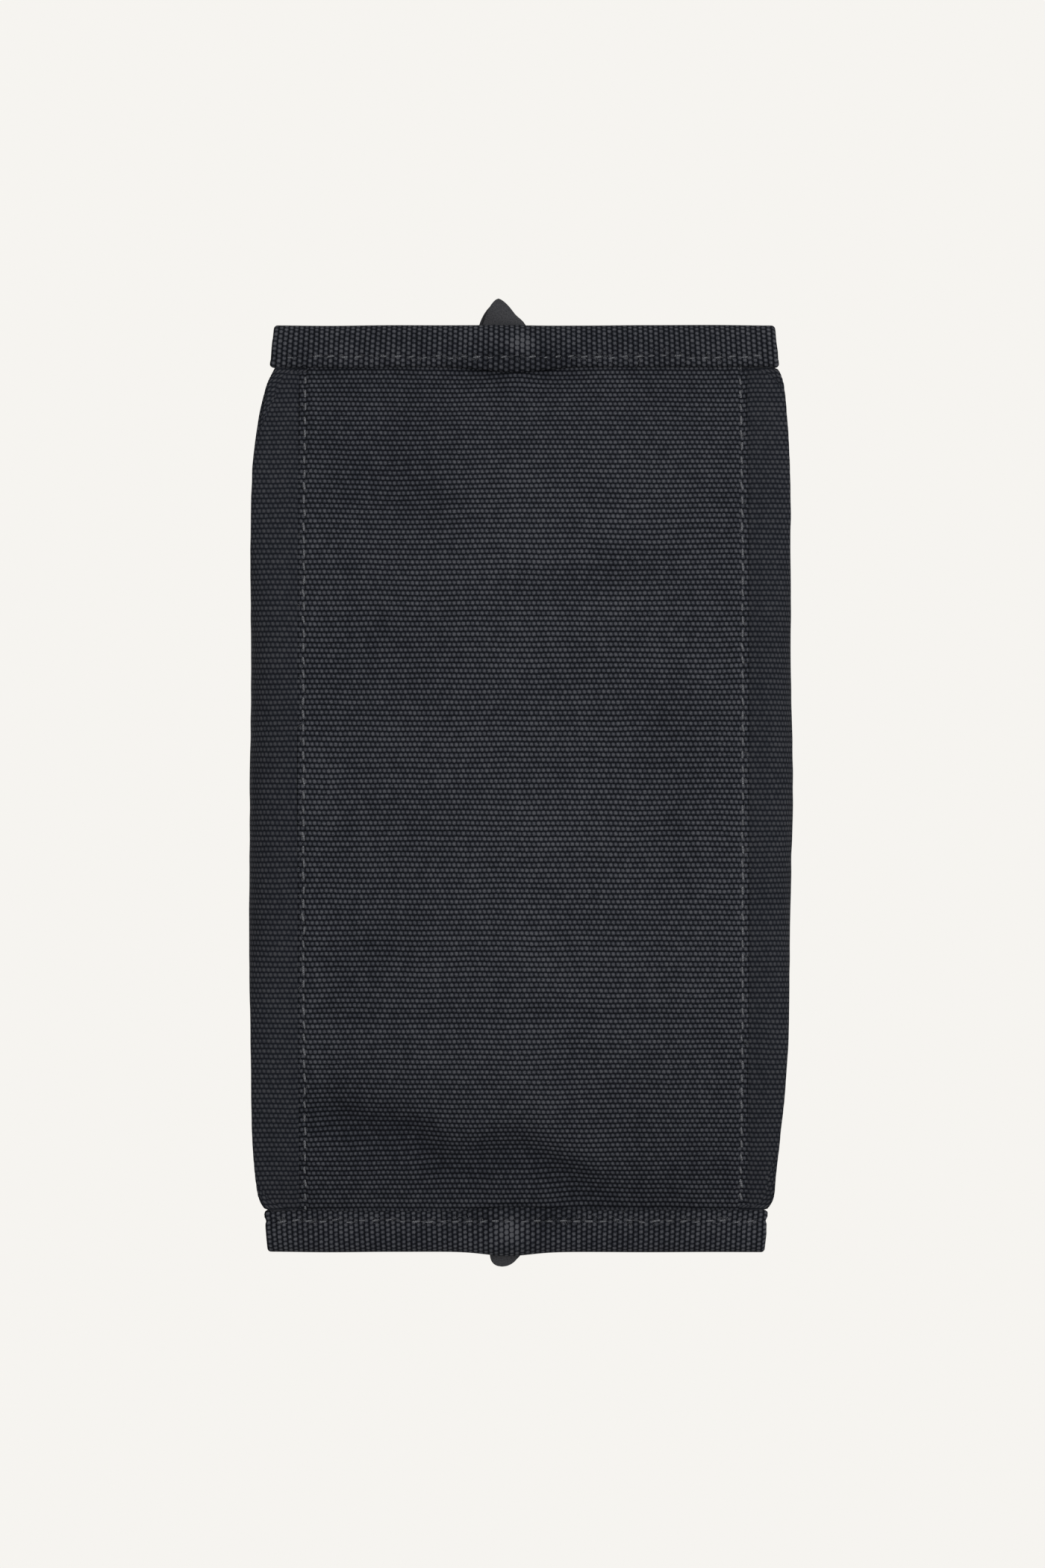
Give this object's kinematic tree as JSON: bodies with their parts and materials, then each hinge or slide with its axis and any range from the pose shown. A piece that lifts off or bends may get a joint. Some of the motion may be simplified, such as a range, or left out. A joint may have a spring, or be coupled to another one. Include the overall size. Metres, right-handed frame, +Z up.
{
  "type": "zip canvas pouch",
  "caption": "Boxy black canvas bag with a full-length zip on top and flat bound ends, for carrying film and small darkroom tools.",
  "frame": {"origin": "middle of the bottom panel's resting face", "axes": "+X along the zip towards the end where it closes, +Y across the bag, +Z up from the bottom panel to the zip"},
  "size_m": [0.2401, 0.1342, 0.046],
  "materials": {
    "canvas": "plain-weave heavy cotton canvas, matte",
    "binding": "folded strip of the same canvas, matte",
    "lining": "light nylon lining, low sheen",
    "thread": "polyester sewing thread, slight sheen",
    "zip_tape": "herringbone zip tape, matte",
    "zip_metal": "black-coated metal, satin",
    "tab": "smooth ribbed ribbon, low sheen"
  },
  "bodies": {
    "pouch": {"bottom_panel": "canvas", "side_panel_left": "canvas", "side_panel_right": "canvas", "lining_bottom": "lining", "lining_side_left": "lining", "lining_side_right": "lining", "binding_front": "binding", "binding_rear": "binding", "seam_thread_left": "thread", "seam_thread_right": "thread", "binding_thread_front": "thread", "binding_thread_rear": "thread", "zip_tape_front": "zip_tape", "zip_tape_rear": "zip_tape", "zip_stop_front": "zip_metal", "zip_stop_rear": "zip_metal"},
    "top_left": {"top_panel_left": "canvas", "lining_top_left": "lining", "zip_tape_left": "zip_tape", "zip_teeth_left": "zip_metal", "zip_thread_left": "thread"},
    "top_right": {"top_panel_right": "canvas", "lining_top_right": "lining", "zip_tape_right": "zip_tape", "zip_teeth_right": "zip_metal", "zip_thread_right": "thread"},
    "slider": {"slider": "zip_metal"},
    "puller": {"puller": "zip_metal"},
    "tab_front": {"end_tab_front": "tab"},
    "tab_rear": {"end_tab_rear": "tab"}
  },
  "joints": [
    {"name": "top_left_open", "type": "hinge", "parent": "pouch", "child": "top_left", "pos_m": [0, 0.0672, 0.022], "axis": [-1, 0, 0], "range_deg": [0, 35]},
    {"name": "top_right_open", "type": "hinge", "parent": "pouch", "child": "top_right", "pos_m": [0, -0.0672, 0.022], "axis": [1, 0, 0], "range_deg": [0, 35]},
    {"name": "zip_travel", "type": "hinge", "parent": "pouch", "child": "slider", "pos_m": [0, 0, -0.21871], "axis": [0, -1, 0], "range_deg": [0, 43.31]},
    {"name": "puller_swing", "type": "hinge", "parent": "slider", "child": "puller", "pos_m": [0.09849, 0, 0.02936], "axis": [0, -1, 0], "range_deg": [0, 130]},
    {"name": "tab_front_bend", "type": "hinge", "parent": "pouch", "child": "tab_front", "pos_m": [0.116, -0.0043, 0.022], "axis": [0, 1, 0], "range_deg": [-60, 60], "stiffness_Nm_per_rad": 0.002},
    {"name": "tab_rear_bend", "type": "hinge", "parent": "pouch", "child": "tab_rear", "pos_m": [-0.116, -0.0033, 0.022], "axis": [0, 1, 0], "range_deg": [-60, 60], "stiffness_Nm_per_rad": 0.002}
  ]
}
